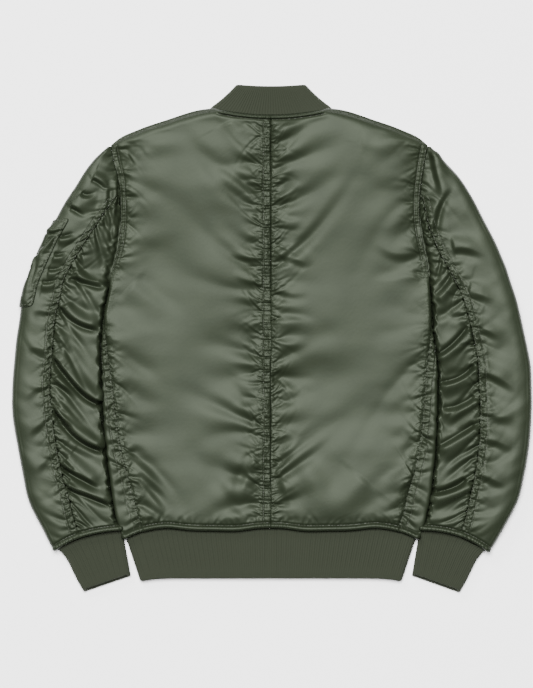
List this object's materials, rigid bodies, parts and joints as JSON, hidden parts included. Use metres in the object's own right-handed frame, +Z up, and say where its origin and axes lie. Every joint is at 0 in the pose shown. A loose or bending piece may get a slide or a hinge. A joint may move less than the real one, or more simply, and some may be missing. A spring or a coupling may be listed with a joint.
{
  "type": "bomber jacket",
  "caption": "Padded satin nylon bomber jacket laid out flat on its front, back up, with ribbed knit collar, cuffs and hem and a pocket on one sleeve.",
  "frame": {"origin": "centre of the bounding box in plan, on the surface that the jacket lies on", "axes": "+X to the wearer's right as the jacket lies on its front, +Y from the hem to the collar, +Z up from the surface"},
  "size_m": [0.7545, 0.7365, 0.0264],
  "materials": {
    "shell": "satin weave nylon with a soft sheen, padded",
    "rib_knit": "matt ribbed knit",
    "zip_tape": "woven tape with a moulded tooth chain",
    "zip_metal": "satin nickel"
  },
  "bodies": {
    "root": {"back_panel_left": "shell", "back_panel_right": "shell", "front_panel_left": "shell", "front_panel_right": "shell", "sleeve_upper_left": "shell", "sleeve_upper_right": "shell", "sleeve_under_left": "shell", "sleeve_under_right": "shell", "sleeve_pocket_left": "shell", "collar_rib": "rib_knit", "hem_rib": "rib_knit", "cuff_rib_left": "rib_knit", "cuff_rib_right": "rib_knit", "zip_tape_left": "zip_tape", "zip_tape_right": "zip_tape", "zip_slider": "zip_metal"}
  },
  "joints": []
}
